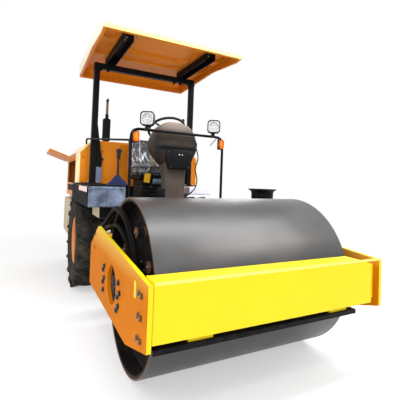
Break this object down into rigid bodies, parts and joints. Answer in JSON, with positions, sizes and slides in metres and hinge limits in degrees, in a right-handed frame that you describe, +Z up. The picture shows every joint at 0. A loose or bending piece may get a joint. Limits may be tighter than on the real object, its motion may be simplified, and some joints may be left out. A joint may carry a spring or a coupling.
{
  "type": "road roller",
  "caption": "Articulated road roller with a smooth drum in a front yoke, lugged rear tyres, engine hood with an open side door, platform with seat and steering console, and a roofed roll bar.",
  "frame": {"origin": "middle of the bounding box at the ground", "axes": "+X forward to the drum, +Y to the machine's left, +Z up"},
  "size_m": [4.37, 2.0794, 2.84],
  "materials": {
    "yellow_paint": "gloss",
    "plate_paint": "satin",
    "orange_paint": "satin",
    "roof_orange": "satin",
    "grey_paint": "satin",
    "black_paint": "satin",
    "drum_steel": "satin",
    "rod_steel": "polished",
    "cast_steel": "rough",
    "engine_alloy": "satin",
    "rim_paint": "satin",
    "tyre_rubber": "matte",
    "hose_rubber": "satin",
    "black_plastic": "satin",
    "seat_vinyl": "satin",
    "signal_orange": "gloss",
    "boot_rubber": "matte"
  },
  "bodies": {
    "rear_frame": {"chassis": "black_paint", "rear_axle": "cast_steel", "counterweight": "grey_paint", "deck": "grey_paint", "control_box": "grey_paint", "side_box_left": "grey_paint", "hood": "orange_paint", "side_vent_right": "black_paint", "side_vent_left": "black_paint", "rear_grille": "black_paint", "engine": "engine_alloy", "rops": "black_paint", "canopy": "roof_orange", "light_hoop": "black_paint", "headlamp_right": "black_plastic", "headlamp_left": "black_plastic", "turn_signal_right": "signal_orange", "turn_signal_left": "signal_orange", "handrail_right": "black_paint", "console": "black_plastic", "seat_base": "black_paint", "seat_cushion": "seat_vinyl", "seat_back": "seat_vinyl", "lever_boot": "boot_rubber", "travel_lever": "black_plastic", "brake_pedal": "black_paint", "exhaust": "black_paint"},
    "hitch": {"hitch_knuckle": "cast_steel"},
    "front_frame": {"yoke_plate_right": "plate_paint", "yoke_plate_left": "plate_paint", "front_beam": "yellow_paint", "scraper": "black_paint", "rear_beam": "yellow_paint", "drum_carrier_right": "black_paint", "drum_carrier_left": "black_paint", "hose_outer": "hose_rubber", "hose_inner": "hose_rubber", "filler_cup": "black_plastic"},
    "drum": {"drum": "drum_steel"},
    "wheel_right": {"tyre_right": "tyre_rubber", "rim_right": "rim_paint"},
    "wheel_left": {"tyre_left": "tyre_rubber", "rim_left": "rim_paint"},
    "door_right": {"hood_door_right": "orange_paint"},
    "door_left": {"hood_door_left": "orange_paint"},
    "steering_wheel": {"steering_wheel": "black_plastic"},
    "cylinder_barrel": {"cylinder_barrel": "black_paint"},
    "cylinder_rod": {"cylinder_rod": "rod_steel"}
  },
  "joints": [
    {"name": "steer", "type": "hinge", "parent": "rear_frame", "child": "hitch", "pos_m": [0.355, 0.09373, 0.595], "axis": [0, 0, 1], "range_deg": [-30, 30]},
    {"name": "oscillate", "type": "hinge", "parent": "hitch", "child": "front_frame", "pos_m": [0.355, 0.09373, 0.595], "axis": [1, 0, 0], "range_deg": [-6, 6]},
    {"name": "drum_spin", "type": "hinge", "parent": "front_frame", "child": "drum", "pos_m": [1.435, 0.09373, 0.57], "axis": [0, 1, 0], "continuous": true},
    {"name": "wheel_right_spin", "type": "hinge", "parent": "rear_frame", "child": "wheel_right", "pos_m": [-0.515, -0.62627, 0.527], "axis": [0, 1, 0], "continuous": true},
    {"name": "wheel_left_spin", "type": "hinge", "parent": "rear_frame", "child": "wheel_left", "pos_m": [-0.515, 0.81373, 0.527], "axis": [0, 1, 0], "continuous": true},
    {"name": "door_right_hinge", "type": "hinge", "parent": "rear_frame", "child": "door_right", "pos_m": [-0.995, -0.73227, 1.5], "axis": [1, 0, 0], "range_deg": [0, 110]},
    {"name": "door_left_hinge", "type": "hinge", "parent": "rear_frame", "child": "door_left", "pos_m": [-0.995, 0.91973, 1.5], "axis": [1, 0, 0], "range_deg": [0, 110]},
    {"name": "steering_wheel_turn", "type": "hinge", "parent": "rear_frame", "child": "steering_wheel", "pos_m": [0.165, 0.09373, 1.832], "axis": [-0.5, 0, 0.866], "continuous": true},
    {"name": "cylinder_swing", "type": "hinge", "parent": "rear_frame", "child": "cylinder_barrel", "pos_m": [-0.155, 0.30873, 0.595], "axis": [0, 0, 1], "range_deg": [-4, 4]},
    {"name": "cylinder_stroke", "type": "slide", "parent": "cylinder_barrel", "child": "cylinder_rod", "axis": [1, 0, 0], "range_m": [-0.12, 0.12]}
  ],
  "couplings": [
    {"joint": "cylinder_swing", "follows": "steer", "ratio": 0.0693},
    {"joint": "cylinder_stroke", "follows": "steer", "m_per_rad": -0.2074}
  ]
}
